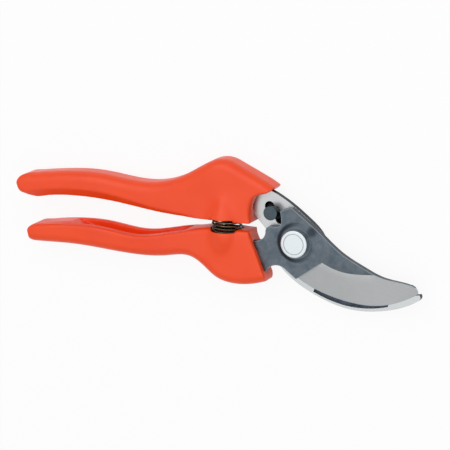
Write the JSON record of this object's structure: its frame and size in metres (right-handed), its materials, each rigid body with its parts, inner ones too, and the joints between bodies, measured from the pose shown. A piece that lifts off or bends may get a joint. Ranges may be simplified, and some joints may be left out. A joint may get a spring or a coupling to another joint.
{
  "type": "pruning shears",
  "caption": "Bypass pruning shears with two moulded orange handles, a sharpened blade that passes a hooked counter blade, a coil return spring and a thumb lock.",
  "frame": {"origin": "on the pivot axis, at the rear end of the pivot bolt, in the plane that the closed shears lie on", "axes": "+Z along the pivot axis towards the bolt head; +X towards the blade tips; +Y towards the back of the upper handle"},
  "size_m": [0.1946, 0.0636, 0.018],
  "materials": {
    "handle_plastic": "satin moulded glass-filled nylon, orange",
    "blade_steel": "dark blued steel with a bright ground bevel",
    "hook_steel": "ground light grey steel",
    "bolt_steel": "zinc plated, pale",
    "nut_steel": "zinc plated",
    "spring_steel": "oil-dark spring wire with bronze glints",
    "lock_steel": "blackened steel",
    "catch_plastic": "black moulded plastic"
  },
  "bodies": {
    "upper_half": {"upper_handle": "handle_plastic", "counter_blade": "hook_steel", "pivot_bolt": "bolt_steel", "pivot_nut": "nut_steel", "pivot_washer": "nut_steel", "return_spring": "spring_steel"},
    "lower_half": {"lower_handle": "handle_plastic", "cutting_blade": "blade_steel"},
    "lock": {"lock_pin": "lock_steel", "lock_catch": "catch_plastic", "lock_clip": "spring_steel"}
  },
  "joints": [
    {"name": "blade_pivot", "type": "hinge", "parent": "upper_half", "child": "lower_half", "pos_m": [0, 0, 0.0096], "axis": [0, 0, 1], "range_deg": [0, 43], "deforming": ["return_spring"]},
    {"name": "lock_slide", "type": "slide", "parent": "upper_half", "child": "lock", "axis": [0.6884, -0.7254, 0], "range_m": [0, 0.0015]}
  ]
}
